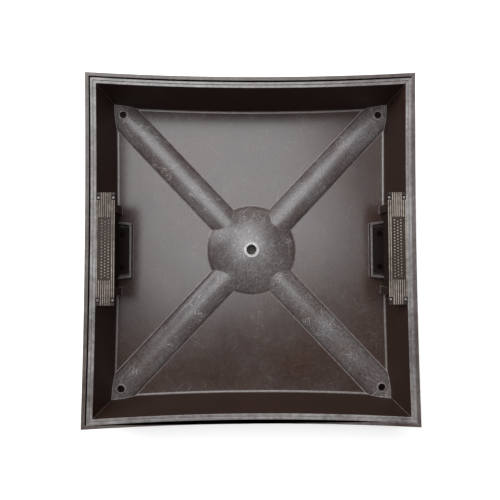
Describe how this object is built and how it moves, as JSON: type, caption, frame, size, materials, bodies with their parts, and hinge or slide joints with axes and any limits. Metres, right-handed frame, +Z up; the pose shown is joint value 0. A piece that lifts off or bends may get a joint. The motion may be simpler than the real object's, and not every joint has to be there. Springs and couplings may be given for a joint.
{
  "type": "recessed access cover",
  "caption": "Deep moulded tray cover for block paving, screwed into a matching flanged frame, with pull-up grip plates at its sides.",
  "frame": {"origin": "middle of the frame's base, on the surface that it stands on", "axes": "+Z up towards the rim, +X across the cover towards the right-hand grip plate, +Y along the cover"},
  "size_m": [0.49, 0.518, 0.08],
  "materials": {
    "moulded_plastic": "satin, scuffed",
    "frame_plastic": "satin, scuffed",
    "handle_plastic": "satin",
    "seal_rubber": "matte",
    "screw_steel": "black oxide",
    "socket_steel": "turned",
    "insert_brass": "turned"
  },
  "bodies": {
    "cover": {"frame": "frame_plastic", "seal": "seal_rubber", "tray": "moulded_plastic", "lifting_socket": "socket_steel", "corner_screw_1": "screw_steel", "corner_screw_2": "screw_steel", "corner_screw_3": "screw_steel", "corner_screw_4": "screw_steel", "frame_insert_1": "insert_brass", "frame_insert_2": "insert_brass", "frame_insert_3": "insert_brass", "frame_insert_4": "insert_brass", "rest_block_left": "moulded_plastic", "rest_block_right": "moulded_plastic", "block_screw_1": "screw_steel", "block_screw_2": "screw_steel", "block_screw_3": "screw_steel", "block_screw_4": "screw_steel"},
    "left_grip": {"handle_left": "handle_plastic"},
    "right_grip": {"handle_right": "handle_plastic"}
  },
  "joints": [
    {"name": "left_grip_lift", "type": "slide", "parent": "cover", "child": "left_grip", "axis": [0, 0, 1], "range_m": [0, 0.037]},
    {"name": "right_grip_lift", "type": "slide", "parent": "cover", "child": "right_grip", "axis": [0, 0, 1], "range_m": [0, 0.037]}
  ]
}
